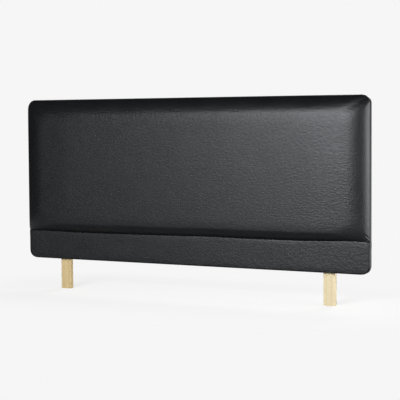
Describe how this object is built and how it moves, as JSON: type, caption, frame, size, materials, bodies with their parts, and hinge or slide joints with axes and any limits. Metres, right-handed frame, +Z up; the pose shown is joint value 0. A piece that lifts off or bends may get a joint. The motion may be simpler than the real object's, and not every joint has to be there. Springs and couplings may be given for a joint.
{
  "type": "headboard",
  "caption": "Upholstered black vinyl headboard for a double bed: a crowned padded panel over a flat lower band, on two wooden struts that fasten to the bed.",
  "frame": {"origin": "midway between the struts, on the plane of their front faces, level with their feet, where the headboard meets the end of the bed", "axes": "+X to the right along the width as seen from the bed, +Y towards the wall, +Z up; the padded face looks towards -Y"},
  "size_m": [1.37, 0.0738, 0.7264],
  "materials": {
    "black_vinyl": "fine-grained semi-gloss faux leather",
    "foam": "open-cell upholstery foam",
    "wadding": "soft polyester wadding",
    "lining": "matt non-woven lining",
    "chipboard": "raw chipboard",
    "pine": "planed pale pine, unvarnished",
    "card": "plain grey-brown board",
    "staple_wire": "galvanised wire",
    "zinc_steel": "bright zinc plate"
  },
  "bodies": {
    "root": {"backboard": "chipboard", "foam_pad": "foam", "upper_cover": "black_vinyl", "band_wadding": "wadding", "band_cover": "black_vinyl", "tack_strip": "card", "back_lining": "lining", "upper_cover_staples": "staple_wire", "band_cover_staples": "staple_wire", "tuck_staples": "staple_wire", "tack_strip_staples": "staple_wire", "lining_staples": "staple_wire", "strut_left": "pine", "strut_right": "pine", "strut_screws_left": "zinc_steel", "strut_screws_right": "zinc_steel", "tee_nuts_left": "zinc_steel", "tee_nuts_right": "zinc_steel"}
  },
  "joints": []
}
